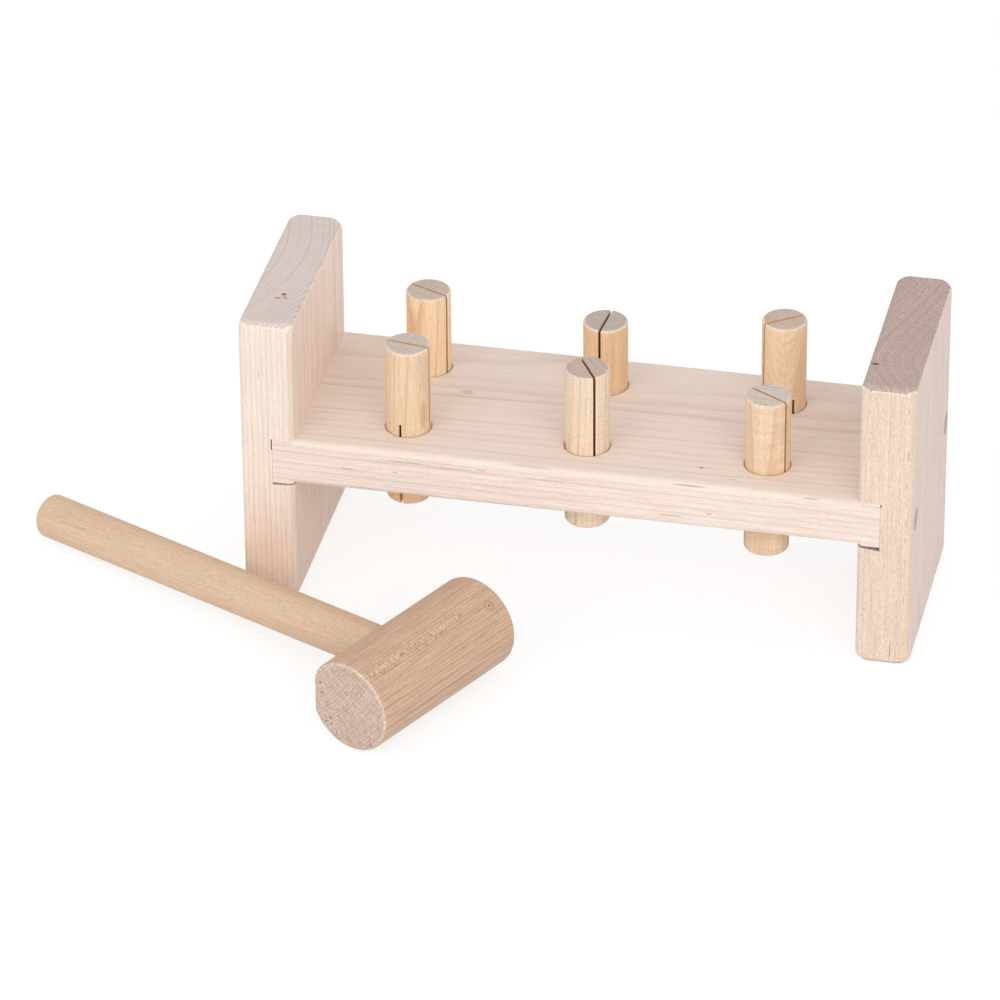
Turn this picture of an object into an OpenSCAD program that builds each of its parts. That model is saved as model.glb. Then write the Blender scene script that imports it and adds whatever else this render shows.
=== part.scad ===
// Peg pounding bench: a reversible wooden bench with six sprung pegs, and a mallet lying beside it.
// Millimetres, +Z up, floor at zero. The bench's length runs along X, and its front faces -Y.
// The origin is on the floor, under the middle of the box round bench and mallet together.

/* [Bench] */
// Overall length, over the outer faces of the end boards
bench_l = 300; // [270:1:400]
// Depth from front to rear, the same for the deck and the end boards
bench_w = 100; // [96:1:140]
// Height of the end boards
board_h = 140.6; // [130:0.1:180]
// Thickness of an end board
board_t = 24.2; // [20:0.1:30]
// Radius on the edges of the end boards, and on the deck's long edges between them
edge_round = 3; // [1:0.1:5]
// Radius of the ball to which each corner of an end board is sanded
corner_ball = 8; // [6:0.5:12]

/* [Deck] */
// Thickness of the deck
deck_t = 22; // [18:0.1:28]
// Height of the deck's underside above the floor
deck_leg = 60; // [55:0.1:70]
// How far the deck's ends are let into the end boards
housing_d = 10; // [4:0.1:14]
// Glue gap between the deck's ends and the bottom of their housings
housing_end_gap = 0.1; // [0.1:0.1:0.5]
// Gap under the deck where it enters a housing
mouth_gap = 0.7; // [0.1:0.1:2]
// Gap under the deck at its left end, where the housing widens
left_gap = 1.3; // [0.1:0.1:2.5]
// Gap under the deck at its right end, where the housing widens
right_gap = 2; // [0.1:0.1:2.5]
// Width of the saw's overcut in the upper inner corner of a housing
overcut_w = 0.5; // [0.2:0.1:0.8]
// Height of the overcut in the left end board
left_overcut = 5.5; // [0.5:0.5:10]
// Height of the overcut in the right end board
right_overcut = 1.5; // [0.5:0.5:10]

/* [Joint dowels] */
// Diameter of a joint dowel
dowel_d = 10; // [6:0.1:12]
// Length of a joint dowel
dowel_l = 40; // [30:0.5:45]
// Bevel on a joint dowel's inner end
dowel_bevel = 1; // [0.3:0.1:2]
// Distance of a joint dowel's axis from the bench's front or rear face
dowel_edge = 9; // [8:0.1:14]
// Glue gap round a joint dowel, on the radius
dowel_fit = 0.05; // [0.02:0.01:0.1]
// Glue room past a joint dowel's inner end
dowel_end_gap = 0.5; // [0.2:0.1:0.9]

/* [Pegs] */
// Diameter of a peg
peg_d = 20; // [14:0.1:24]
// Length of a peg
peg_l = 77; // [70:0.5:80]
// Radius on a peg's rims
peg_rim = 1.3; // [0.5:0.1:2.5]
// Running gap round a peg, on the radius
peg_fit = 0.1; // [0.05:0.01:0.1]
// Bevel on the rims of the peg holes
hole_bevel = 0.3; // [0.2:0.1:1.5]
// Distance between pegs along the bench
peg_pitch = 80.5; // [60:0.5:90]
// How far the front row of holes is set to the right of the middle, and the rear row to the left
peg_shift = 1.2; // [0:0.1:3]
// Distance of a peg's axis from the bench's front or rear face
peg_edge = 23.8; // [20:0.1:28]
// Depth of the saw kerf in each end of a peg
kerf_l = 41; // [20:0.5:45]
// Width of a saw kerf
kerf_w = 1.2; // [0.6:0.1:2]

/* [How far each peg stands above the deck] */
// Front left peg
front_left_rise = 42; // [0:0.5:46]
// Front middle peg
front_middle_rise = 39.5; // [0:0.5:46]
// Front right peg
front_right_rise = 35; // [0:0.5:46]
// Rear left peg
rear_left_rise = 39.5; // [0:0.5:46]
// Rear middle peg
rear_middle_rise = 33; // [0:0.5:46]
// Rear right peg
rear_right_rise = 43; // [0:0.5:46]

/* [How each peg's upper kerf is turned from the bench's length, in degrees] */
// Front left peg
front_left_turn = 171; // [0:1:180]
// Front middle peg
front_middle_turn = 120; // [0:1:180]
// Front right peg
front_right_turn = 150; // [0:1:180]
// Rear left peg
rear_left_turn = 156; // [0:1:180]
// Rear middle peg
rear_middle_turn = 85; // [0:1:180]
// Rear right peg
rear_right_turn = 36; // [0:1:180]

/* [How far a peg's lower kerf is turned from its upper one, in degrees] */
// Front right peg
front_right_cross = 53; // [45:1:135]
// All other pegs
peg_cross = 90; // [45:1:135]

/* [Mallet] */
// Diameter of the mallet's head
head_d = 42.4; // [36:0.1:55]
// Length of the mallet's head
head_l = 89.5; // [60:0.5:100]
// Radius on the head's rims
head_rim = 2.2; // [0.5:0.1:3]
// Distance from the head's axis to the flat where the handle enters
head_flat = 18; // [14:0.1:21.1]
// Diameter of the handle
handle_d = 20; // [14:0.1:24]
// Full length of the handle, with the stretch inside the head
handle_l = 221; // [180:1:260]
// Radius on the handle's ends
handle_rim = 2; // [0.5:0.1:4]
// How deep the handle sits in the head, from the flat
socket_d = 20; // [10:0.5:26]
// Glue gap round the handle in its socket, on the radius
socket_fit = 0.05; // [0.02:0.01:0.1]
// Glue room past the handle's inner end
socket_end_gap = 0.3; // [0.1:0.1:0.9]

/* [Where the mallet lies] */
// Distance of the head's middle from the bench's left end, along X
mallet_inset = 94; // [60:1:120]
// Angle of the handle to the bench's length, in degrees
mallet_turn = 28.3; // [20:0.1:40]
// How far the handle stands off square to the head, in degrees
handle_skew = 1.6; // [0:0.1:3]
// Gap between the handle and the bench's front left corner
mallet_clear = 9; // [5:0.5:40]

/* [Hidden] */

// Smoothness of round shapes
$fn = 96;
// How far a cut runs past the wood
overrun = 1;

// Colours of the bare wood
bench_wood = [0.93, 0.84, 0.75];
peg_wood = [0.88, 0.74, 0.56];
dowel_wood = [0.72, 0.62, 0.54];
head_wood = [0.79, 0.64, 0.50];
handle_wood = [0.88, 0.76, 0.60];

// Sides of the bench, as signs along X and Y
left = -1;
right = 1;
front = -1;
rear = 1;

// Bench: distances from its middle
end_x = bench_l / 2;
inner_x = end_x - board_t;
housing_x = inner_x + housing_d;
deck_end_x = housing_x - housing_end_gap;
side_y = bench_w / 2;
ball_inset = edge_round + (corner_ball - edge_round) / sqrt(2) - 0.005;
dowel_y = side_y - dowel_edge;
peg_y = side_y - peg_edge;
deck_top = deck_leg + deck_t;
deck_mid = deck_leg + deck_t / 2;
hole_r = peg_d / 2 + peg_fit;

// Mallet: the head lies on the floor, and the handle leans down until its free end touches the floor too
head_r = head_d / 2;
handle_r = handle_d / 2;
handle_start = head_flat - socket_d;
handle_end = handle_start + handle_l;
rim_along = handle_end - handle_rim;
rim_across = handle_r - handle_rim;
rim_far = norm([rim_along, rim_across]);
mallet_pitch = atan2(rim_along, rim_across) - acos((head_r - handle_rim) / rim_far);
head_turn = mallet_turn - handle_skew;

// Place of the head's middle, from the bench's middle: the handle passes the bench's corner at its gap
mallet_standoff = (handle_r + mallet_clear + mallet_inset * sin(mallet_turn)) / cos(mallet_turn);
mallet_x = mallet_inset - end_x;
mallet_y = -side_y - mallet_standoff;

// Furthest reach of the handle to the left, and of the head to the front
handle_lean = cos(mallet_turn) * cos(mallet_pitch);
handle_reach = rim_along * handle_lean + rim_across * sqrt(1 - pow(handle_lean, 2)) + handle_rim;
head_reach = (head_l / 2 - head_rim) * cos(head_turn) + (head_r - head_rim) * sin(head_turn) + head_rim;
set_x = (mallet_x - handle_reach + end_x) / 2;
set_y = (mallet_y - head_reach + side_y) / 2;

// Distance of a peg's axis from the bench's middle, along X
function peg_x(column, row) = column * peg_pitch - row * peg_shift;

// Puts a piece of the bench, drawn from the bench's middle, in its place in the set
module on_bench() {
    translate([-set_x, -set_y, 0]) children();
}

// Puts a piece of the mallet in place: the head's axis is drawn along Y, and the handle along +X
module on_mallet(turn, pitch) {
    on_bench()
        translate([mallet_x, mallet_y, head_r])
            rotate([0, pitch, 180 - turn])
                children();
}

// Rectangle with round corners, centred
module round_rect(size, r) {
    square([size.x - 2 * r, size.y], center = true);
    square([size.x, size.y - 2 * r], center = true);
    for (sx = [-1, 1], sy = [-1, 1])
        translate([sx * (size.x / 2 - r), sy * (size.y / 2 - r)])
            circle(r);
}

// Board with every edge rounded, centred
module round_board(size, r) {
    intersection() {
        linear_extrude(size.z, center = true)
            round_rect([size.x, size.y], r);
        rotate([90, 0, 0])
            linear_extrude(size.y, center = true)
                round_rect([size.x, size.z], r);
        rotate([90, 0, 90])
            linear_extrude(size.x, center = true)
                round_rect([size.y, size.z], r);
    }
}

// Rod standing on the origin, with both rims rounded
module round_rod(d, l, rim) {
    rotate_extrude() {
        square([d / 2 - rim, l]);
        translate([0, rim]) square([d / 2, l - 2 * rim]);
        for (z = [rim, l - rim])
            translate([d / 2 - rim, z]) circle(rim);
    }
}

// Hole for a joint dowel, from outside the end board to past the dowel's inner end
module dowel_hole(side, row) {
    translate([side * (end_x + overrun), row * dowel_y, deck_mid])
        rotate([0, -side * 90, 0])
            cylinder(h = overrun + dowel_l + dowel_end_gap, r = dowel_d / 2 + dowel_fit);
}

// Hole for a peg, with both rims bevelled
module peg_hole() {
    translate([0, 0, deck_leg - overrun])
        cylinder(h = deck_t + 2 * overrun, r = hole_r);
    translate([0, 0, deck_top - hole_bevel])
        cylinder(h = hole_bevel + overrun, r1 = hole_r, r2 = hole_r + hole_bevel + overrun);
    translate([0, 0, deck_leg - overrun])
        cylinder(h = hole_bevel + overrun, r1 = hole_r + hole_bevel + overrun, r2 = hole_r);
}

// End board before its cuts
module board_blank(side) {
    translate([side * (end_x - board_t / 2), 0, board_h / 2])
        round_board([board_t, bench_w, board_h], edge_round);
}

// What sanding takes off a corner, drawn from the middle of the ball that is left there
module corner_waste(sx, sy, sz) {
    size = ball_inset + overrun;
    difference() {
        translate([sx, sy, sz] * size / 2) cube(size, center = true);
        sphere(corner_ball);
    }
}

module corners_waste(side) {
    for (sx = [-1, 1], sy = [-1, 1], top = [0, 1])
        translate([
            side * (end_x - board_t / 2) + sx * (board_t / 2 - ball_inset),
            sy * (side_y - ball_inset),
            top == 1 ? board_h - ball_inset : ball_inset
        ])
            corner_waste(sx, sy, 2 * top - 1);
}

// Deck before its holes: its long edges are rounded in the open and square inside the end boards
module deck_blank() {
    translate([0, 0, deck_mid])
        rotate([90, 0, 90])
            linear_extrude(2 * deck_end_x, center = true)
                round_rect([bench_w, deck_t], edge_round);
    for (side = [left, right])
        intersection() {
            translate([0, 0, deck_mid]) cube([2 * deck_end_x, bench_w, deck_t], center = true);
            board_blank(side);
        }
}

module deck() {
    color(bench_wood) on_bench() difference() {
        deck_blank();
        for (column = [-1, 0, 1], row = [front, rear])
            translate([peg_x(column, row), row * peg_y, 0]) peg_hole();
        for (side = [left, right], row = [front, rear])
            dowel_hole(side, row);
    }
}

// Housing for the deck's end, with its gap under the deck and its overcut at the top
module housing(side, end_gap, overcut) {
    mouth = side * (inner_x - overrun);
    bottom = side * housing_x;
    overcut_bottom = side * (housing_x + overcut_w);
    rotate([90, 0, 0])
        linear_extrude(bench_w + 2 * overrun, center = true)
            polygon([
                [mouth, deck_leg - mouth_gap],
                [mouth, deck_top],
                [overcut_bottom, deck_top],
                [overcut_bottom, deck_top - overcut],
                [bottom, deck_top - overcut],
                [bottom, deck_leg - end_gap]
            ]);
}

module end_board(side, end_gap, overcut) {
    color(bench_wood) on_bench() difference() {
        board_blank(side);
        corners_waste(side);
        housing(side, end_gap, overcut);
        for (row = [front, rear])
            dowel_hole(side, row);
    }
}

module dowel(side, row) {
    color(dowel_wood) on_bench()
        translate([side * end_x, row * dowel_y, deck_mid])
            rotate([0, -side * 90, 0]) {
                cylinder(h = dowel_l - dowel_bevel, r = dowel_d / 2);
                translate([0, 0, dowel_l - dowel_bevel])
                    cylinder(h = dowel_bevel, r1 = dowel_d / 2, r2 = dowel_d / 2 - dowel_bevel);
            }
}

// Saw kerf through a peg's axis, from its end down to the kerf's depth
module kerf() {
    translate([-peg_d / 2 - overrun, -kerf_w / 2, -kerf_l])
        cube([peg_d + 2 * overrun, kerf_w, kerf_l + overrun]);
}

module peg(column, row, rise, turn, cross) {
    color(peg_wood) on_bench()
        translate([peg_x(column, row), row * peg_y, deck_top + rise])
            rotate([0, 0, turn])
                difference() {
                    translate([0, 0, -peg_l]) round_rod(peg_d, peg_l, peg_rim);
                    kerf();
                    translate([0, 0, -peg_l]) rotate([180, 0, cross]) kerf();
                }
}

// Head lying on the floor, with the flat on the handle's side
module head_blank() {
    difference() {
        translate([0, head_l / 2, 0])
            rotate([90, 0, 0])
                round_rod(head_d, head_l, head_rim);
        translate([head_flat, -head_l / 2 - overrun, -head_r - overrun])
            cube([head_r, head_l + 2 * overrun, head_d + 2 * overrun]);
    }
}

module mallet_head() {
    color(head_wood) difference() {
        on_mallet(head_turn, 0) head_blank();
        on_mallet(mallet_turn, mallet_pitch)
            translate([handle_start - socket_end_gap, 0, 0])
                rotate([0, 90, 0])
                    cylinder(h = head_r - handle_start + socket_end_gap + overrun, r = handle_r + socket_fit);
    }
}

module mallet_handle() {
    color(handle_wood) on_mallet(mallet_turn, mallet_pitch)
        translate([handle_start, 0, 0])
            rotate([0, 90, 0])
                round_rod(handle_d, handle_l, handle_rim);
}

deck();
end_board(left, left_gap, left_overcut);  // left_end_board
end_board(right, right_gap, right_overcut);  // right_end_board
dowel(left, front);  // left_front_dowel
dowel(left, rear);  // left_rear_dowel
dowel(right, front);  // right_front_dowel
dowel(right, rear);  // right_rear_dowel
peg(-1, front, front_left_rise, front_left_turn, peg_cross);  // front_left_peg
peg(0, front, front_middle_rise, front_middle_turn, peg_cross);  // front_middle_peg
peg(1, front, front_right_rise, front_right_turn, front_right_cross);  // front_right_peg
peg(-1, rear, rear_left_rise, rear_left_turn, peg_cross);  // rear_left_peg
peg(0, rear, rear_middle_rise, rear_middle_turn, peg_cross);  // rear_middle_peg
peg(1, rear, rear_right_rise, rear_right_turn, peg_cross);  // rear_right_peg
mallet_head();
mallet_handle();
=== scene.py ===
# %% [markdown]
# # A wooden pounding bench and its mallet
# The bench is a thick deck let into two end boards, with six split pegs that are hammered through it, and a
# mallet lies in front. All of it is bare wood, so the shapes are simple and the wood has to carry the
# picture. The shapes come ready from the frame, at their real size in metres. One could model them again
# here, but they would only drift from the construction, so this lesson keeps them and spends its effort on
# light and wood.

# %% Load the frame and keep its box
import math
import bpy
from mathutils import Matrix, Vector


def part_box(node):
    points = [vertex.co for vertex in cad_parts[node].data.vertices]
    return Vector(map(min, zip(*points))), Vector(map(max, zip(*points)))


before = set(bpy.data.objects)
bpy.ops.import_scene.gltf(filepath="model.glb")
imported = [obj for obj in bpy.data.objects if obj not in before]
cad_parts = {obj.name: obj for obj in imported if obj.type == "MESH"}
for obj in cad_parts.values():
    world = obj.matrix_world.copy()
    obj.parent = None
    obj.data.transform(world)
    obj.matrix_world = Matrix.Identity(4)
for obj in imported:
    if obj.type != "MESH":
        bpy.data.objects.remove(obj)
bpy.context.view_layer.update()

from types import SimpleNamespace

import bpy
from mathutils import Matrix, Vector

MM = 0.001
print("pieces in the frame:", sorted(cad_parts))

# %% [markdown]
# ## Where the bench stands
# The frame's origin lies between bench and mallet. It is easier to think from the bench's own middle, on
# the floor, because every knot and streak was found from there. The deck's box gives that point, so nothing
# has to be typed twice.


# %% Find the middle of the bench
def middle_of(node):
    low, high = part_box(node)
    return (low + high) / 2


def half_of(node):
    low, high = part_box(node)
    return (high - low) / 2


bench_middle = middle_of("deck")
bench_middle.z = 0
print("the bench's middle lies at", [round(c, 4) for c in bench_middle])

# %% [markdown]
# ## The camera
# The object was seen from its front, a little from the right, and from well above the deck. Its long
# parallel edges hardly draw together, so the camera stood far back with a long lens. A near camera with a
# wide lens could hold the same frame, but the end boards would fan out. The camera is placed by the point
# that it looks at, two angles and a distance, as one would place a tripod.

# %% Set the camera on its long lens
LENS = 251.6
LOOK_AT = bench_middle + Vector((-0.0377, -0.0287, 0.05))
CAMERA_DISTANCE = 3.0936
CAMERA_TURN = math.radians(12.44)
CAMERA_RISE = math.radians(31.72)
CAMERA_ROLL = math.radians(-0.44)

camera_data = bpy.data.cameras.new("camera")
camera_data.lens = LENS
camera_data.clip_end = 100
camera = bpy.data.objects.new("camera", camera_data)
bpy.context.scene.collection.objects.link(camera)
aim = Matrix.Rotation(CAMERA_TURN, 4, "Z") @ Matrix.Rotation(math.pi / 2 - CAMERA_RISE, 4, "X")
backwards = aim @ Vector((0, 0, 1))
camera.matrix_world = (
    Matrix.Translation(LOOK_AT + CAMERA_DISTANCE * backwards) @ aim @ Matrix.Rotation(CAMERA_ROLL, 4, "Z")
)
bpy.context.scene.camera = camera
print("the camera stands at", [round(c, 3) for c in camera.matrix_world.translation])

# %% [markdown]
# ## A recipe for materials
# A wood material is a few dozen nodes, and wiring them one by one hides the idea. A recipe keeps the
# material being made, and adds a node for each call. Its signals stand for a node's output and understand
# plain arithmetic, so that a ring can be written as a formula. One could keep the nodes in a library file
# instead, but then the reader wouldn't see how the wood comes about.


# %% Write signals and recipes
class Signal:
    """The output of a node. Plain arithmetic on it adds Math nodes."""

    def __init__(self, recipe, socket):
        self.recipe = recipe
        self.socket = socket

    def __add__(self, other):
        return self.recipe.math("ADD", self, other)

    def __sub__(self, other):
        return self.recipe.math("SUBTRACT", self, other)

    def __rsub__(self, other):
        return self.recipe.math("SUBTRACT", other, self)

    def __mul__(self, other):
        return self.recipe.math("MULTIPLY", self, other)

    def __truediv__(self, other):
        return self.recipe.math("DIVIDE", self, other)

    __radd__ = __add__


class Recipe:
    """A material in the making."""

    def __init__(self, name):
        self.material = bpy.data.materials.new(name)
        self.material.use_nodes = True
        self.tree = self.material.node_tree
        self.shader = self.tree.nodes["Principled BSDF"]
        self.place = self.tree.nodes.new("ShaderNodeTexCoord")

    def feed(self, socket, value):
        """Gives a socket a signal or a plain value."""
        if isinstance(value, Signal):
            self.tree.links.new(value.socket, socket)
        elif socket.type == "VECTOR":
            # A colour carries a fourth number that a vector doesn't take
            socket.default_value = value[:3]
        else:
            socket.default_value = value

    def node(self, kind, values, **settings):
        """Adds a node, sets it, and feeds its first inputs in order."""
        node = self.tree.nodes.new(kind)
        for key, value in settings.items():
            setattr(node, key, value)
        for socket, value in zip(node.inputs, values):
            self.feed(socket, value)
        return node

    def math(self, operation, *values, clamp=False):
        node = self.node("ShaderNodeMath", values, operation=operation, use_clamp=clamp)
        return Signal(self, node.outputs["Value"])

    def vector_math(self, operation, a, b=(0, 0, 0), output="Vector"):
        node = self.node("ShaderNodeVectorMath", (a, b), operation=operation)
        return Signal(self, node.outputs[output])

    def scale(self, colour, amount):
        node = self.node("ShaderNodeVectorMath", (colour,), operation="SCALE")
        self.feed(node.inputs["Scale"], amount)
        return Signal(self, node.outputs["Vector"])

    def tint(self, colour, factor):
        return self.vector_math("MULTIPLY", colour, factor)

    def shade(self, colour, tone):
        """Darkens or lightens by a signal round zero. What gets darker gets warmer too, as wood does."""
        steps = self.scale((0.82, 1.0, 1.25), tone)
        return self.tint(colour, self.vector_math("ADD", steps, (1, 1, 1)))

    def dot(self, a, b):
        return self.vector_math("DOT_PRODUCT", a, b, output="Value")

    def noise(self, x, y, z, detail=2.0):
        """Cloudy noise round zero, from about -0.5 to 0.5, that changes over a distance of one."""
        point = self.node("ShaderNodeCombineXYZ", (x, y, z)).outputs["Vector"]
        node = self.node("ShaderNodeTexNoise", (Signal(self, point),))
        self.feed(node.inputs["Scale"], 1.0)
        self.feed(node.inputs["Detail"], detail)
        return Signal(self, node.outputs["Fac"]) - 0.5

    def noise_along(self, x):
        """Cloudy noise round zero along a line."""
        node = self.node("ShaderNodeTexNoise", (), noise_dimensions="1D")
        self.feed(node.inputs["W"], x)
        self.feed(node.inputs["Scale"], 1.0)
        return Signal(self, node.outputs["Fac"]) - 0.5

    def lot(self, number):
        """A lot drawn for each whole number, from 0 to 1, the same each time."""
        node = self.node("ShaderNodeTexWhiteNoise", (), noise_dimensions="1D")
        self.feed(node.inputs["W"], number)
        return Signal(self, node.outputs["Value"])

    def step(self, value, low, high):
        """Rises smoothly from 0 at low to 1 at high, or falls if high is the lower one."""
        node = self.node("ShaderNodeMapRange", (value, low, high), interpolation_type="SMOOTHSTEP")
        return Signal(self, node.outputs["Result"])

    def curve(self, value, points):
        """Follows straight lines through the points, each a place from 0 to 1 and a height from 0 to 1."""
        node = self.node("ShaderNodeValToRGB", (value,))
        ramp = node.color_ramp
        while len(ramp.elements) < len(points):
            ramp.elements.new(1.0)
        for element, (place, height) in zip(ramp.elements, points):
            element.position = place
            element.color = (height, height, height, 1)
        return Signal(self, node.outputs["Color"])

    def mix(self, amount, a, b):
        """Colour a where amount is 0, and colour b where it is 1."""
        node = self.tree.nodes.new("ShaderNodeMix")
        node.data_type = "RGBA"
        for index, value in ((0, amount), (6, a), (7, b)):
            self.feed(node.inputs[index], value)
        return Signal(self, node.outputs[2])


def colour(red, green, blue):
    return (red, green, blue, 1)


print("recipes can be written")

# %% [markdown]
# ## Places in the tree
# Real grain is solid: the lines on a board's face and the arcs on its end are the same rings, cut two ways.
# A picture of grain on each face would never meet at the edges. So each piece remembers where it sat in its
# tree, and its wood is worked out in the tree's own places: how far a point lies from the pith, how far
# round, and how high up. The surface's own direction is compared with the tree as well. It tells whether
# the saw cut the wood across, flat to the rings or square to them, and each cut looks different.


# %% Turn a point of the piece into a place in its tree
def tree_place(recipe, timber):
    """Place in the tree in millimetres, and from 0 to 1 how much the surface is an end or a flat cut."""
    along = timber.along.normalized()
    pith = timber.pith - timber.pith.dot(along) * along
    towards = pith.normalized()
    across = along.cross(towards)
    point = Signal(recipe, recipe.place.outputs["Object"])
    normal = Signal(recipe, recipe.place.outputs["Normal"])
    offset = recipe.vector_math("SUBTRACT", point, timber.middle)
    depth = pith.length - recipe.dot(offset, towards) / MM
    aside = recipe.dot(offset, across) / MM
    height = recipe.dot(offset, along) / MM
    if timber.bend:
        # The tree grew lopsided: its rings run almost straight to either side of a bend
        far_slope, near_slope, bend_size = timber.bend
        reach = recipe.math("SQRT", aside * aside + bend_size * bend_size)
        slope = near_slope + recipe.step(aside, -1, 1) * (far_slope - near_slope)
        radius = depth + (reach - bend_size) * slope
        outward = recipe.dot(normal, across) * slope * aside / reach - recipe.dot(normal, towards)
    else:
        radius = recipe.math("SQRT", depth * depth + aside * aside)
        outward = (recipe.dot(normal, across) * aside - recipe.dot(normal, towards) * depth) / radius
    return SimpleNamespace(
        point=point, normal=normal, offset=offset, radius=radius, height=height,
        round_it=recipe.math("ARCTAN2", aside, depth) * pith.length,
        end=recipe.math("ABSOLUTE", recipe.dot(normal, along)),
        flat=recipe.math("ABSOLUTE", outward),
    )


print("places in the tree can be found")

# %% [markdown]
# ## Growth rings
# Each year leaves a pale band that ends in a thin darker line. The bands differ in width, and some lines
# are hardly there. A wave texture would make all rings alike, so the rings are counted out from the pith
# instead: the whole number says which year it is and draws its lot, and the rest says how far it is to the
# year's end. The dark line grows over the same last millimetre or so in a wide year and in a narrow one.

# %% Count the rings
YEAR_END = ((0.0, 0.25), (0.10, 1.0), (0.30, 0.60), (0.65, 0.15), (1.0, 0.03))


def ring_lines(recipe, timber, spot):
    """How dark the ring line is at each point, from 0 to 1."""
    sway = recipe.noise(spot.round_it / 40, spot.radius / 40, spot.height / 200, detail=1) * timber.sway
    tremble = recipe.noise(spot.round_it / 6, spot.radius / 6, spot.height / 40) * timber.tremble
    swayed = spot.radius + sway + tremble
    years = swayed / timber.ring_gap + timber.first_ring
    gap = timber.ring_gap
    if timber.late_gap:
        # Later in its life the tree grew at another pace
        late = recipe.math("MAXIMUM", swayed - timber.late_from, 0)
        years = years + late * (1 / timber.late_gap - 1 / timber.ring_gap)
        gap = gap + recipe.step(swayed, timber.late_from, timber.late_from + 1) * (timber.late_gap - gap)
    years = years + recipe.noise_along(years * 0.8) * timber.uneven
    year = recipe.math("FLOOR", years)
    to_its_end = (1 - (years - year)) * gap
    line = recipe.curve(to_its_end / timber.late_wood, YEAR_END)
    return line * (recipe.lot(year) * timber.fickle + (1 - timber.fickle))


print("a year's end is darkest at", YEAR_END[1][0], "of its late wood, seen from its rim")

# %% [markdown]
# ## Fibres, pores and rays
# Between the rings, wood is made of long fibres. On a face they show as fine streaks along the grain, and
# on an end as dots. Thin rays run from the pith outwards: on an end they are fine lines across the rings,
# and on a face that is cut square to the rings they lie open as a band of short flecks across the grain.
# All of them are noise that is stretched one way or another in the tree's places, so nothing has to be
# drawn.


# %% Stretch noise along the tree and across its rays
def grain_noise(recipe, timber, spot):
    """Noises round zero: each is stretched as one feature of the wood is, in millimetres."""
    here, out, up = spot.round_it, spot.radius, spot.height
    ray_here, ray_up = here / timber.ray_width, up / timber.ray_height
    return SimpleNamespace(
        streaks=recipe.noise(here / 0.9, out / 0.9, up / 18),
        pores=recipe.noise(here / 0.32, out / 0.32, up / 3.5, detail=1),
        dashes=recipe.noise(here / 0.65, out / 0.65, up / timber.dash_length, detail=1),
        broad=recipe.noise(here / 5, out / 2.6, up / 90),
        cloud=recipe.noise(here / 26, out / 26, up / 50, detail=1),
        curl=recipe.noise(here / 9, out / 9, up / 2.6, detail=1),
        rays=recipe.noise(ray_here, out / 10, ray_up, detail=1),
        flecks=recipe.noise(ray_here, out / timber.fleck_length, ray_up, detail=1),
    )


print("noise can be stretched along the grain and the rays")

# %% [markdown]
# ## Knots and streaks
# A board is known by its flaws: a pin knot, a brown streak, a short crack. Each was found on the object and
# is placed in millimetres from the bench's middle. A flaw is a stretched ball of stain in the solid wood with
# a ragged rim, so it shows on whichever face cuts it.


# %% Stain the wood round a point
RIM_CLOUD_SCALE = 0.9
STAIN_RIM = (1.15, 0.55)


def stain(recipe, spot, place, half_size, ragged=0.5):
    """1 in the middle of a stretched ball, falling to 0 round its ragged rim."""
    middle = bench_middle + Vector(place) * MM
    stretch = tuple(1 / (size * MM) for size in half_size)
    offset = recipe.vector_math("SUBTRACT", spot.point, middle)
    reach = recipe.vector_math("LENGTH", recipe.vector_math("MULTIPLY", offset, stretch), output="Value")
    coarse = recipe.scale(spot.point, 1 / MM)
    node = recipe.node("ShaderNodeTexNoise", (coarse,))
    recipe.feed(node.inputs["Scale"], RIM_CLOUD_SCALE)
    rim = (Signal(recipe, node.outputs["Fac"]) - 0.5) * ragged
    return recipe.step(reach + rim, *STAIN_RIM)


print("a stain fades from", STAIN_RIM[1], "to", STAIN_RIM[0], "of its half size")

# %% [markdown]
# ## Sawn slots
# The walls of the saw kerfs were never sanded. They are orange at the mouth, and further in painted shade
# turns them dark brown, as the inside of a narrow slot lies in shade. A wall is known by two things together:
# it lies within half a kerf of the plane through the rod's axis, and it faces along the plane's normal. The
# outside of the rod never does both. A plain dark colour would be simpler, but the pale mouths are what shows
# on the pegs' tops.

# %% Find the walls of the kerfs
KERF_HALF = 0.6
KERF_MARGIN = 0.3
KERF_FACING = (0.8, 0.95)


def kerf_walls(recipe, timber, spot):
    """1 on the walls of both kerfs, and how many millimetres each point lies inside the rod."""
    walls = 0.0
    for turn in timber.kerf_turns:
        across = Vector((-math.sin(math.radians(turn)), math.cos(math.radians(turn)), 0))
        facing = recipe.math("ABSOLUTE", recipe.dot(spot.normal, across))
        away = recipe.math("ABSOLUTE", recipe.dot(spot.offset, across) / MM)
        near = recipe.step(away, KERF_HALF + KERF_MARGIN, KERF_HALF)
        walls = recipe.math("MAXIMUM", walls, recipe.step(facing, *KERF_FACING) * near)
    level = recipe.vector_math("MULTIPLY", spot.offset, (1, 1, 0))
    from_side = timber.half.x / MM - recipe.vector_math("LENGTH", level, output="Value") / MM
    from_end = timber.half.z / MM - recipe.math("ABSOLUTE", recipe.dot(spot.offset, (0, 0, 1))) / MM
    return walls, recipe.math("MINIMUM", from_side, from_end)


print("a kerf is", 2 * KERF_HALF, "mm wide")

# %% [markdown]
# ## Round lines
# Two more marks are round. The drill and the pegs left a thin brown line about each hole in the deck, and the
# line is deepened with painted shade where the gap about each peg lies in shadow. A darker line of glue runs
# about each joint dowel. Both are bands of distance from an axis, so they need no drawing either.

# %% Find a line about an axis
PATCH_SIZE = 2.5
PATCH_REACH = 0.5
HOLE_RIM = (10.9, 10.25)
GLUE_RIM = (4.1, 4.9)


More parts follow.
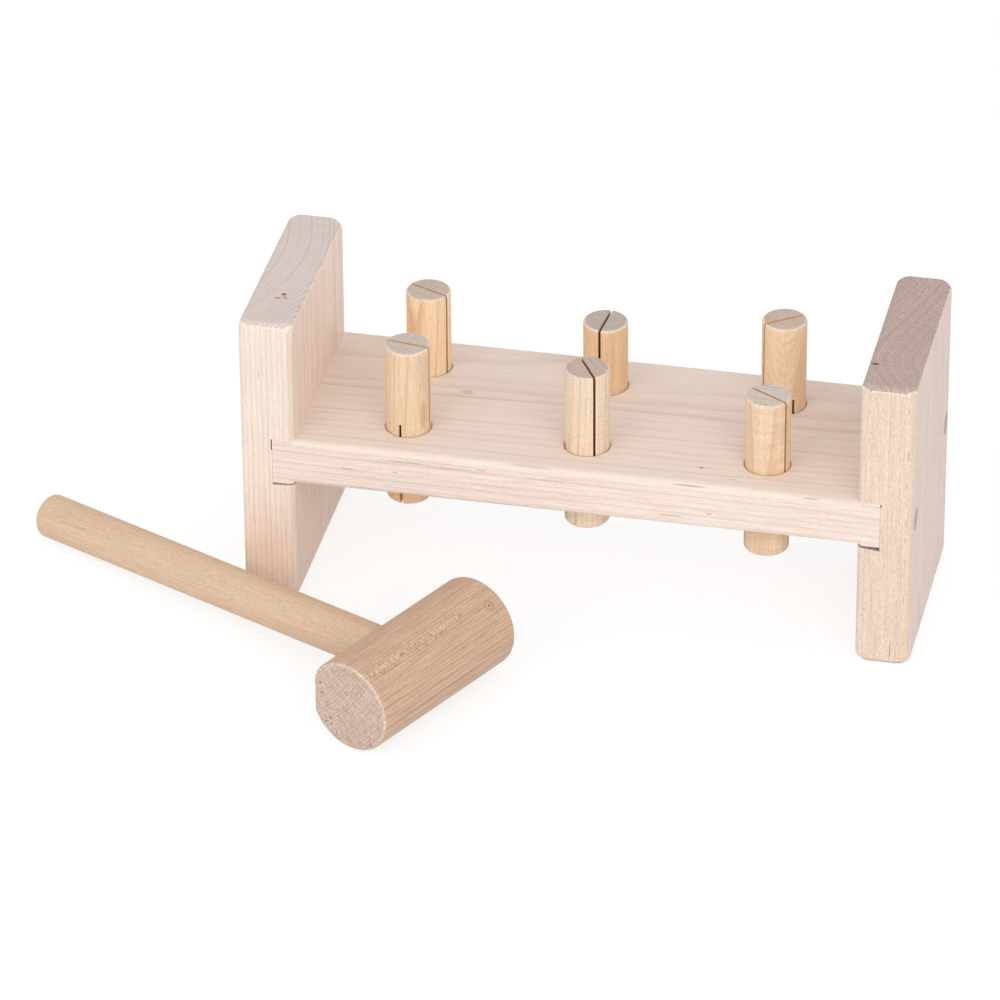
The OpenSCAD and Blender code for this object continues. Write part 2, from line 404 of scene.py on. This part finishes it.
def round_line(recipe, spot, middle, axis, start, full):
    """Rises from 0 at one distance from an axis to 1 at the other, in millimetres, and is a little patchy."""
    offset = recipe.vector_math("SUBTRACT", spot.point, middle)
    off_axis = recipe.vector_math("CROSS_PRODUCT", offset, axis)
    reach = recipe.vector_math("LENGTH", off_axis, output="Value") / MM
    here = [recipe.dot(spot.point, way) / MM / PATCH_SIZE for way in ((1, 0, 0), (0, 1, 0), (0, 0, 1))]
    patches = recipe.noise(*here)
    return recipe.step(reach + patches * PATCH_REACH, start, full)


print("a hole's brown rim reaches from", HOLE_RIM[1], "to", HOLE_RIM[0], "mm from its axis")

# %% [markdown]
# ## From grain to finish
# The wood is bare and sanded, so it has a soft dull sheen. Its ends drink more light than its sides, and look
# greyer. Three layers are laid over each other: the side, the rounded rim and the end, and the facts of a
# piece say at which slant one takes over from the next. On the end boards the grey end runs out over the
# rounding to a crisp line, and on the rods the rim is paler than both: partly the sanded wood, and partly a
# painted highlight where the rounded edge turns towards the light. A constant sheen over all would look like
# plastic, so the fibres move the roughness, and raise the surface by a few hundredths of a millimetre. The
# ends are a little bruised where the mallet strikes.

# %% Put the wood together
WOOD_IOR = 1.45
# Brown for the hole rims: partly a stain, partly painted shade of the gap about each peg
HOLE_STAIN_AND_SHADE = colour(0.36, 0.21, 0.13)
FLAT_CUT = (0.5, 0.9)
RINGS_CALMED = 0.6
DULLNESS = 0.56
BUMP_STRENGTH = 0.4
BUMP_HEIGHT = 0.00006
BRUISE_SCALE = 0.45
BRUISE_RIM = (0.56, 0.68)
PLAIN = dict(
    bend=None, late_gap=0.0, late_from=0.0, late_wood=1.4, first_ring=0.0, uneven=0.8, fickle=0.7,
    sway=4.0, tremble=0.7, ring_depth=0.75, end_ring_depth=0.9,
    streaks=0.32, dashes=0.20, dash_length=2.0, broad=0.14, cloud=0.10, curl=0.0, flat_calm=0.0,
    end_streaks=0.35, end_rays=0.30, ray_width=0.45, ray_height=1.2, fleck_length=10, flecks=0.12,
    band=0.0, quarter_from=(0.24, 0.05), band_to=(900.0, 800.0), bruises=0.0,
    flat_tint=(1, 1, 1), low_tint=None, low_from=0.0, low_to=0.0,
    rim_from=(0.22, 0.40), end_from=(0.75, 0.95), chips=0.08, pale_corners=0.0,
    kerf_turns=(), holes=(), glue=None, stains=(),
)


def grow_wood(name, **facts):
    """A wood material from the facts of a piece: its place in the tree, and its colours."""
    timber = SimpleNamespace(**{**PLAIN, **facts})
    recipe = Recipe(name)
    spot = tree_place(recipe, timber)
    rings = ring_lines(recipe, timber, spot)
    grain = grain_noise(recipe, timber, spot)
    quarter = recipe.step(spot.flat, *timber.quarter_from) * recipe.step(spot.height, *timber.band_to)

    # Side: rings, streaks, and flecks where the cut is square to the rings. A flat cut can be calmer
    flat = recipe.step(spot.flat, *FLAT_CUT)
    ring_calm = 1 - flat * timber.flat_calm * RINGS_CALMED
    side = recipe.mix(rings * timber.ring_depth * ring_calm, timber.side, timber.ring)
    tone = grain.streaks * timber.streaks + grain.dashes * timber.dashes + grain.pores * 0.10
    tone = tone + grain.broad * timber.broad + grain.cloud * timber.cloud + grain.curl * timber.curl
    tone = tone + grain.flecks * (quarter * timber.band + timber.flecks)
    tone = tone * (1 - flat * timber.flat_calm)
    side = recipe.shade(side, tone)
    side = recipe.mix(flat, side, recipe.tint(side, timber.flat_tint))
    if timber.low_tint:
        # The edges of the board are warmer towards one end
        low = recipe.step(spot.height, timber.low_from, timber.low_to) * (1 - flat * 0.8)
        side = recipe.mix(low, side, recipe.tint(side, timber.low_tint))

    # End and rim: rings crossed by fine rays
    end_tone = grain.streaks * timber.end_streaks + grain.rays * timber.end_rays + grain.cloud * timber.cloud
    # The rim's pale colour is partly sanded wood and partly a painted highlight on the rounded edges
    rim = recipe.shade(recipe.mix(rings * timber.ring_depth * 0.6, timber.rim, timber.end_ring), end_tone)
    cut = recipe.shade(recipe.mix(rings * timber.end_ring_depth, timber.end, timber.end_ring), end_tone)
    slant = spot.end + grain.dashes * timber.chips
    if timber.pale_corners:
        # Where two edges meet, more was sanded away, and the pale rim, partly a painted highlight, begins
        # higher up
        lean_x, lean_y = recipe.dot(spot.normal, (1, 0, 0)), recipe.dot(spot.normal, (0, 1, 0))
        slant = slant - recipe.math("ABSOLUTE", lean_x * lean_y) * timber.pale_corners
    is_end = recipe.step(slant, *timber.end_from)
    wood = recipe.mix(recipe.step(slant, *timber.rim_from), side, rim)
    wood = recipe.mix(is_end, wood, cut)
    relief = grain.streaks * 0.5 + grain.pores * 0.4 - rings * 0.25

    if timber.bruises:
        dents = recipe.scale(spot.point, 1 / MM)
        node = recipe.node("ShaderNodeTexNoise", (dents,))
        recipe.feed(node.inputs["Scale"], BRUISE_SCALE)
        bruise = recipe.step(Signal(recipe, node.outputs["Fac"]), *BRUISE_RIM) * is_end * timber.bruises
        wood = recipe.scale(wood, 1 - bruise * 0.10)
        relief = relief - bruise
    if timber.kerf_turns:
        walls, sunk = kerf_walls(recipe, timber, spot)
        # Further in, the orange of the sawn wall turns to a painted shade of dark brown
        sawn = recipe.mix(recipe.step(sunk, *timber.burnt_from), timber.sawn, timber.burnt)
        wood = recipe.mix(walls, wood, recipe.shade(sawn, tone))
    for hole in timber.holes:
        # Each hole's brown ring is partly a stain and partly painted shade of the gap round its peg
        wood = recipe.mix(round_line(recipe, spot, hole, (0, 0, 1), *HOLE_RIM) * 0.7, wood, HOLE_STAIN_AND_SHADE)
    if timber.glue:
        glued = round_line(recipe, spot, timber.middle, (1, 0, 0), *GLUE_RIM)
        wood = recipe.mix(glued * 0.5, wood, timber.glue)
    for place_mm, half_size, strength, tint in timber.stains:
        wood = recipe.mix(stain(recipe, spot, place_mm, half_size) * strength, wood, tint)

    roughness = is_end * 0.12 + DULLNESS + grain.streaks * 0.12 + grain.cloud * 0.10
    bump = recipe.node("ShaderNodeBump", (BUMP_STRENGTH, BUMP_HEIGHT))
    recipe.feed(bump.inputs["Height"], relief)
    recipe.feed(recipe.shader.inputs["Base Color"], wood)
    recipe.feed(recipe.shader.inputs["Roughness"], roughness)
    recipe.feed(recipe.shader.inputs["Normal"], Signal(recipe, bump.outputs["Normal"]))
    recipe.shader.inputs["IOR"].default_value = WOOD_IOR
    print(name, "has", len(recipe.tree.nodes), "nodes")
    return recipe.material


def finish_node(node, material):
    """Gives a piece of the frame its material, in every slot that it has."""
    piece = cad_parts[node]
    if not piece.data.materials:
        piece.data.materials.append(material)
    for slot in piece.material_slots:
        slot.link = "OBJECT"
        slot.material = material


print("a wood has", len(PLAIN), "facts that a piece can leave as they are")

# %% [markdown]
# ## The deck
# The deck is pale maple, cut so that its rings stand steep along the front edge and lie flat towards the
# rear. The lines are therefore close together in front, and wide apart and fainter behind. A few thin brown
# streaks run along its front face.

# %% Grow the deck
PEG_PLACES = [(row, column) for row in ("front", "rear") for column in ("left", "middle", "right")]
PEG_NODES = tuple(f"{row}_{column}_peg" for row, column in PEG_PLACES)
MAPLE_SIDE = colour(0.885, 0.75, 0.66)
MAPLE_RING = colour(0.65, 0.46, 0.38)
MAPLE_END = dict(
    # The pale rim is partly sanded wood and partly a painted highlight on the rounded edges
    rim=colour(0.93, 0.80, 0.68), end=colour(0.75, 0.635, 0.585), end_ring=colour(0.50, 0.41, 0.385),
    rim_from=(0.17, 0.25), end_from=(0.38, 0.48), chips=0.12, pale_corners=0.8,
)
BROWN = colour(0.46, 0.24, 0.14)
GREY_BROWN = colour(0.50, 0.38, 0.33)
deck_stains = (
    ((-60.1, 7.2, 82), (3.0, 2.2, 2), 0.45, GREY_BROWN),
    ((54.0, -35.3, 82), (1.2, 0.9, 2), 0.80, BROWN),
    ((68.9, -42.4, 82), (2.2, 0.6, 2), 0.50, GREY_BROWN),
    ((-76, -50, 77.5), (12, 2, 0.42), 0.60, BROWN),
    ((-54, -50, 76.9), (11, 2, 0.32), 0.50, BROWN),
    ((-41.5, -50, 77.6), (3, 2, 0.45), 0.50, BROWN),
    ((-102, -50, 71.2), (3.5, 2, 0.4), 0.50, BROWN),
    ((-80.6, -50, 71.8), (1.6, 2, 0.4), 0.50, BROWN),
    ((-20, -49, 81.5), (10, 2.5, 0.5), 0.40, GREY_BROWN),
    ((51, -49, 80.8), (9, 2, 0.42), 0.60, BROWN),
    ((43, -50, 65.0), (6, 2, 0.4), 0.50, BROWN),
    ((60.2, -50, 67.9), (1.6, 2, 0.5), 0.60, BROWN),
    ((105, -49, 80.8), (4, 2, 0.4), 0.45, BROWN),
)
deck_wood = grow_wood(
    "deck_maple", middle=middle_of("deck"), along=Vector((1, 0, -0.012)), pith=Vector((0, 50, -133)),
    ring_gap=2.4, side=MAPLE_SIDE, ring=MAPLE_RING, ring_depth=0.82, streaks=0.42, flat_calm=0.55,
    stains=deck_stains, holes=tuple(middle_of(node) for node in PEG_NODES), **MAPLE_END,
)
finish_node("deck", deck_wood)

# %% [markdown]
# ## The end boards
# The two end boards stand upright, with the grain running up. The left one is pale, with wide rings that
# curve over its top and crowd together at its front corner, and a small knot. Towards the floor it turns
# warmer. The right one is denser and yellower, its outer side is pinker, and its many thin rings bend
# sharply near the front. The grey of the end grain stops at a thin chipped line, a little below the top on
# both.

# %% Grow the end boards
ORANGE_BROWN = colour(0.55, 0.33, 0.20)
left_stains = (
    ((-135.4, -23.1, 140.6), (1.3, 1.2, 3), 0.9, colour(0.12, 0.10, 0.08)),
    ((-137.1, -26.6, 140.6), (1.4, 1.0, 2), 0.9, ORANGE_BROWN),
    ((-138.3, -27.1, 140.6), (1.1, 0.6, 2), 0.75, ORANGE_BROWN),
    ((-134.6, -25.3, 140.6), (1.0, 0.9, 2), 0.9, ORANGE_BROWN),
    ((-133.3, -26.5, 140.6), (1.1, 0.9, 2), 0.75, ORANGE_BROWN),
    ((-126.3, -31.3, 139), (0.7, 0.8, 1.2), 0.5, BROWN),
    ((-128.6, -49.5, 139), (1.4, 1, 0.4), 0.45, BROWN),
    ((-141, -50, 114.4), (0.3, 1, 2.4), 0.6, GREY_BROWN),
    ((-125.8, 11.4, 9.5), (2, 1.1, 6), 0.4, colour(0.62, 0.30, 0.18)),
)
left_wood = grow_wood(
    "left_board_maple", middle=middle_of("left_end_board"), along=Vector((0, 0, 1)),
    pith=Vector((-100.8, 14.4, 0)), ring_gap=5.3, first_ring=0.26, late_gap=2.0, late_from=111,
    late_wood=0.9, sway=1.4, tremble=0.5, uneven=0.2, fickle=0.5, end_rays=0.25, end_ring_depth=0.8,
    ring_depth=0.62, streaks=0.26, side=colour(0.895, 0.765, 0.665), ring=MAPLE_RING,
    flat_tint=(1.0, 0.955, 0.935), low_tint=(1.01, 0.91, 0.85), low_from=0, low_to=-50,
    stains=left_stains, **MAPLE_END,
)
finish_node("left_end_board", left_wood)

DARK_BROWN = colour(0.10, 0.05, 0.035)
RING_BEND = Vector((0, -24, 0)) * MM
DASH_HEIGHTS = (130.5, 92.6, 74, 64.6, 53.4, 34.6)
right_dashes = tuple(((147, -50, height), (0.3, 1.5, 2.2), 0.45, BROWN) for height in DASH_HEIGHTS)
right_stains = (
    ((129.0, -30.0, 140.6), (2.0, 0.9, 1.5), 0.98, DARK_BROWN),
    ((141.5, -50, 7.5), (0.35, 1.5, 5), 0.7, BROWN),
    ((147.5, -50, 108), (0.35, 1.5, 3.2), 0.6, BROWN),
    ((150, -38.2, 69.7), (1.2, 0.8, 4.2), 0.3, GREY_BROWN),
) + right_dashes
right_wood = grow_wood(
    "right_board_maple", middle=middle_of("right_end_board") + RING_BEND, along=Vector((0, 0, 1)),
    pith=Vector((67, 0, 0)), bend=(0.32, 0.68, 8), ring_gap=1.25, late_wood=1.0, fickle=0.85,
    sway=3.0, tremble=1.0, dashes=0.5, dash_length=1.6, end_streaks=0.9, end_rays=0.25,
    side=colour(0.812, 0.64, 0.485), ring=colour(0.66, 0.45, 0.31), ring_depth=0.6,
    # Its pale rim is partly a painted highlight on the rounded edges
    flat_tint=(1.0, 1.03, 1.205), rim=colour(0.88, 0.73, 0.61), rim_from=(0.15, 0.22),
    end=colour(0.57, 0.425, 0.375), end_ring=colour(0.32, 0.235, 0.215), end_from=(0.34, 0.44),
    chips=0.10, pale_corners=0.8, stains=right_stains,
)
finish_node("right_end_board", right_wood)

# %% [markdown]
# ## The joint dowels
# Four dowels pin the deck's ends from outside. Only their sawn ends show, sanded flush with the end boards,
# and they look a little darker because they are end grain, with a line of glue about them.

# %% Grow the dowels
DOWEL_ENDS = ("left_front_dowel", "left_rear_dowel", "right_front_dowel", "right_rear_dowel")
DOWEL_BROWN = colour(0.60, 0.47, 0.36)
GLUE_BROWN = colour(0.30, 0.19, 0.12)
for number, node in enumerate(DOWEL_ENDS):
    dowel_wood = grow_wood(
        node + "_wood", middle=middle_of(node), along=Vector((1, 0, 0)),
        pith=Vector((0, 21, 13 + 4 * number)), ring_gap=1.6, side=DOWEL_BROWN, rim=DOWEL_BROWN,
        ring=colour(0.45, 0.32, 0.23), end=colour(0.56, 0.46, 0.40), end_ring=colour(0.36, 0.28, 0.23),
        glue=GLUE_BROWN,
    )
    finish_node(node, dowel_wood)

# %% [markdown]
# ## The pegs
# The pegs are short lengths of dowel rod, yellower than the bench, and no two are alike: each came from
# another part of another rod. A rod is never cut quite along its tree, and that slant draws the pointed
# arches on the sides. Each peg therefore has its own colours, its own pith and slant, its own ring gap, and
# its own turn of the upper kerf, in degrees from the bench's length. The lower kerf crosses it squarely,
# but for the front right peg.


# %% Grow the pegs
def peg_facts(side, end, pith, slant, ring_gap, kerf_turn, cross=90, **more):
    return dict(
        side=side, end=end, pith=Vector((*pith, 0)), along=Vector((*slant, 1)), ring_gap=ring_gap,
        kerf_turns=(kerf_turn, kerf_turn + cross), **more,
    )


FLAME = ((-72.0, -31.5, 92), (2.4, 2.4, 9), 0.7, colour(0.68, 0.40, 0.23))
LOW_GLOW = ((-81.7, -26.2, 49), (14, 14, 11), 0.5, colour(0.95, 0.53, 0.26))
PATCH = ((-87.6, 18.0, 108), (1.6, 1.6, 9), 0.40, colour(0.78, 0.48, 0.25))
pegs = dict(
    front_left_peg=peg_facts(
        colour(0.82, 0.607, 0.407), colour(0.66, 0.565, 0.50), (-24.3, 17.7), (0.0203, -0.0148), 2.1, 171,
        first_ring=0.125, uneven=0.2, sway=0.6, tremble=0.3, stains=(FLAME, LOW_GLOW),
    ),
    front_middle_peg=peg_facts(
        colour(0.855, 0.685, 0.52), colour(0.61, 0.465, 0.39), (30, 24), (0.010, 0.012), 1.8, 120,
        dashes=0.3, dash_length=1.2,
    ),
    front_right_peg=peg_facts(
        colour(0.84, 0.616, 0.422), colour(0.69, 0.60, 0.535), (4, 42), (0.004, 0.020), 2.6, 150,
        cross=53, curl=0.3,
    ),
    rear_left_peg=peg_facts(
        colour(0.94, 0.69, 0.438), colour(0.62, 0.51, 0.42), (14, 30), (0.018, 0.030), 2.2, 156,
        stains=(PATCH,),
    ),
    rear_middle_peg=peg_facts(
        colour(0.81, 0.546, 0.335), colour(0.55, 0.46, 0.40), (-34, 16), (0.010, 0.004), 1.5, 85,
        broad=0.3,
    ),
    rear_right_peg=peg_facts(
        colour(0.86, 0.63, 0.415), colour(0.645, 0.49, 0.39), (-6.4, 29.3), (-0.035, 0.158), 0.81, 36,
        late_wood=0.6, uneven=0.7, sway=1.2, tremble=0.3, ring_depth=0.42,
    ),
)
PEG_SHARED = dict(
    sway=2.0, tremble=0.5, ring=colour(0.60, 0.34, 0.17), ring_depth=0.5, end_ring=colour(0.42, 0.34, 0.29),
    # The pale rim round the pegs' tops is partly sanded wood and partly a painted highlight
    end_ring_depth=0.7, rim=colour(0.82, 0.66, 0.52), rim_from=(0.10, 0.30), end_from=(0.88, 0.99),
    # The kerf walls darken with depth: painted shade inside the slots
    sawn=colour(0.80, 0.52, 0.31), burnt=colour(0.22, 0.11, 0.06), burnt_from=(0.3, 2.2),
    flecks=0.25, bruises=0.8,
)
for node, facts in pegs.items():
    peg = {**PEG_SHARED, **facts}
    finish_node(node, grow_wood(node + "_wood", middle=middle_of(node), half=half_of(node), **peg))

# %% [markdown]
# ## The mallet
# The head is a turned block of a tanner wood with fine, close lines along its axis, and where its side
# meets the rays squarely, a band of flecks runs along it and fades towards the far end, near a small swirl.
# Its near face is a weave of rings and rays with a few dark specks at the rim. The handle is another pale
# rod, full of short flecks. Both lie askew, so their grain needs the mallet's own directions: how far head
# and handle are turned on the floor, and how far the handle leans down to touch it.

# %% Grow the mallet's head
HEAD_TURN = math.radians(26.7)
head_axis = Vector((math.sin(HEAD_TURN), math.cos(HEAD_TURN), 0))
head_aside = Vector((math.cos(HEAD_TURN), -math.sin(HEAD_TURN), 0))
head_middle = middle_of("mallet_head")
head_low, head_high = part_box("mallet_head")
HEAD_LENGTH = 0.0895
near_face_middle = Vector((*head_middle.xy, (head_low.z + head_high.z) / 2)) - head_axis * HEAD_LENGTH / 2
print("the near face's middle lies at", [round(c, 4) for c in near_face_middle])


def on_near_face(aside, up):
    """Place on the mallet's near face, in millimetres from the bench's middle."""
    point = near_face_middle + head_aside * aside * MM + Vector((0, 0, up * MM))
    return tuple((point - bench_middle) / MM)


SPECK = colour(0.20, 0.11, 0.07)
SWIRL = (-28.1, -95.9, 37.9)
speck_places = ((-16.2, 6.8), (-15.4, 2.0), (-10.8, -9.4), (-10.4, -12.2), (-13.4, -12.0), (-7.6, -15.6))
head_stains = tuple((on_near_face(*place), (0.55, 0.55, 0.9), 0.75, SPECK) for place in speck_places)
head_stains = head_stains + (
    (on_near_face(-1.0, -17.0), (3.0, 2.0, 1.6), 0.35, colour(0.62, 0.36, 0.22)),
    (SWIRL, (3.0, 3.0, 3.0), 0.55, colour(0.36, 0.205, 0.125)),
    (SWIRL, (2.0, 2.0, 2.0), 0.85, colour(0.64, 0.445, 0.32)),
    (SWIRL, (0.7, 0.7, 0.7), 0.8, SPECK),
)
head_wood = grow_wood(
    "head_wood", middle=head_middle, along=head_axis, pith=Vector((-70, 20, 62)),
    ring_gap=1.5, sway=1.5, tremble=0.5, late_wood=0.75, ray_width=0.40, ray_height=0.7,
    fleck_length=2.2, flecks=0.2, band=1.5, quarter_from=(0.17, 0.03), band_to=(33.0, 16.0),
    streaks=0.6, dashes=0.35, end_streaks=0.9, end_rays=0.9, bruises=1.0,
    side=colour(0.645, 0.435, 0.303), ring=colour(0.38, 0.23, 0.15), ring_depth=0.85,
    # The pale rim of the near face is partly a painted highlight on its rounded edge
    rim=colour(0.76, 0.575, 0.46), rim_from=(0.55, 0.70), end_from=(0.86, 0.94),
    end=colour(0.635, 0.475, 0.385), end_ring=colour(0.34, 0.235, 0.185), end_ring_depth=0.65,
    stains=head_stains,
)
finish_node("mallet_head", head_wood)

# %% Grow its handle
HANDLE_TURN = math.radians(28.3)
HANDLE_LEAN = math.radians(2.961)
handle_axis = Vector((
    -math.cos(HANDLE_TURN) * math.cos(HANDLE_LEAN),
    math.sin(HANDLE_TURN) * math.cos(HANDLE_LEAN),
    -math.sin(HANDLE_LEAN),
))
handle_wood = grow_wood(
    "handle_wood", middle=middle_of("mallet_handle"), along=handle_axis, pith=Vector((0, -30, 40)),
    ring_gap=3.0, sway=2.0, ray_width=0.4, ray_height=3.0, streaks=0.35, dashes=0.45, dash_length=1.5,
    side=colour(0.72, 0.512, 0.358), ring=colour(0.60, 0.38, 0.23), ring_depth=0.2,
    rim=colour(0.74, 0.56, 0.42), end=colour(0.64, 0.48, 0.37), end_ring=colour(0.46, 0.33, 0.24),
    bruises=0.6,
)
finish_node("mallet_handle", handle_wood)

# %% [markdown]
# ## The studio
# The object stands on a white sweep in a bright room. The floor has to come out white where nothing stands
# on it and still keep a faint shadow. Lifting the floor with more lamps would bleach the wood too, so the
# floor adds a little white of its own, for the camera only, and the lamps stay at the level at which a
# colour renders about as it is written.

# %% Lay the floor
FLOOR_HALF = 12
FLOOR_DROP = 0.00005
floor_mesh = bpy.data.meshes.new("floor")
corners = [(x, y, -FLOOR_DROP) for x, y in ((-1, -1), (1, -1), (1, 1), (-1, 1))]
floor_mesh.from_pydata([(x * FLOOR_HALF, y * FLOOR_HALF, z) for x, y, z in corners], [], [(0, 1, 2, 3)])
floor = bpy.data.objects.new("floor", floor_mesh)
bpy.context.scene.collection.objects.link(floor)

floor_recipe = Recipe("floor_white")
floor_tree = floor_recipe.tree


def seen_directly(tree):
    """1 for the rays that show this surface as it is: the camera's, and those by way of gloss or glass."""
    path = tree.nodes.new("ShaderNodeLightPath")
    total = None
    for name in ("Is Camera Ray", "Is Glossy Ray", "Is Transmission Ray"):
        if total is None:
            total = path.outputs[name]
            continue
        larger = tree.nodes.new("ShaderNodeMath")
        larger.operation = "MAXIMUM"
        tree.links.new(total, larger.inputs[0])
        tree.links.new(path.outputs[name], larger.inputs[1])
        total = larger.outputs["Value"]
    return total


FLOOR_COLOUR = 0.90
FLOOR_SEEN_COLOUR = 0.32
FLOOR_SEEN_WHITE = 0.76
matt = floor_tree.nodes.new("ShaderNodeBsdfDiffuse")
matt.inputs["Color"].default_value = colour(FLOOR_COLOUR, FLOOR_COLOUR, FLOOR_COLOUR)
seen_matt = floor_tree.nodes.new("ShaderNodeBsdfDiffuse")
seen_matt.inputs["Color"].default_value = colour(FLOOR_SEEN_COLOUR, FLOOR_SEEN_COLOUR, FLOOR_SEEN_COLOUR)
seen_white = floor_tree.nodes.new("ShaderNodeEmission")
seen_white.inputs["Strength"].default_value = FLOOR_SEEN_WHITE
lifted = floor_tree.nodes.new("ShaderNodeAddShader")
floor_tree.links.new(seen_matt.outputs[0], lifted.inputs[0])
floor_tree.links.new(seen_white.outputs[0], lifted.inputs[1])
choice = floor_tree.nodes.new("ShaderNodeMixShader")
floor_tree.links.new(seen_directly(floor_tree), choice.inputs[0])
floor_tree.links.new(matt.outputs[0], choice.inputs[1])
floor_tree.links.new(lifted.outputs[0], choice.inputs[2])
floor_tree.links.new(choice.outputs[0], floor_tree.nodes["Material Output"].inputs["Surface"])
floor_mesh.materials.append(floor_recipe.material)
print("the floor reaches", FLOOR_HALF, "m each way")

# %% [markdown]
# ## Lamps
# Most of the light comes from the bright room, which keeps every side readable. Two softboxes stand in
# front, one to the left and a slightly stronger one to the right, so the front faces come out brightest and
# the round pegs fall off gently both ways. A single strong lamp would draw hard shadows that the object
# doesn't have.

# %% Hang the lamps
ROOM_LIGHT = 0.70
world = bpy.data.worlds.new("studio")
bpy.context.scene.world = world
world.use_nodes = True
world_tree = world.node_tree
room = world_tree.nodes["Background"]
room.inputs["Strength"].default_value = ROOM_LIGHT
seen_room = world_tree.nodes.new("ShaderNodeBackground")
seen_room.inputs["Strength"].default_value = 1
for background in (room, seen_room):
    background.inputs["Color"].default_value = colour(1, 1, 1)
world_choice = world_tree.nodes.new("ShaderNodeMixShader")
world_tree.links.new(seen_directly(world_tree), world_choice.inputs[0])
world_tree.links.new(room.outputs[0], world_choice.inputs[1])
world_tree.links.new(seen_room.outputs[0], world_choice.inputs[2])
world_tree.links.new(world_choice.outputs[0], world_tree.nodes["World Output"].inputs["Surface"])


def hang_softbox(name, turn, rise, distance, size, level):
    """A square lamp that looks at the bench. A white card there, turned towards it, gains this level."""
    lamp = bpy.data.lights.new(name, "AREA")
    lamp.shape = "SQUARE"
    lamp.size = size
    lamp.energy = level * math.pi ** 2 * distance ** 2
    turned = Matrix.Rotation(math.radians(turn), 4, "Z") @ Matrix.Rotation(math.radians(90 - rise), 4, "X")
    holder = bpy.data.objects.new(name, lamp)
    holder.matrix_world = Matrix.Translation(turned @ Vector((0, 0, distance))) @ turned
    bpy.context.scene.collection.objects.link(holder)
    print(name, "shines with", round(lamp.energy, 1), "W")


hang_softbox("left_softbox", turn=-28, rise=32, distance=2.2, size=1.3, level=0.19)
hang_softbox("right_softbox", turn=35, rise=30, distance=2.2, size=1.3, level=0.26)

# %% [markdown]
# ## Finish
# The picture uses the Standard view, so a colour comes out as it was chosen.

# %% Set the view and finish
bpy.context.scene.view_settings.view_transform = "Standard"
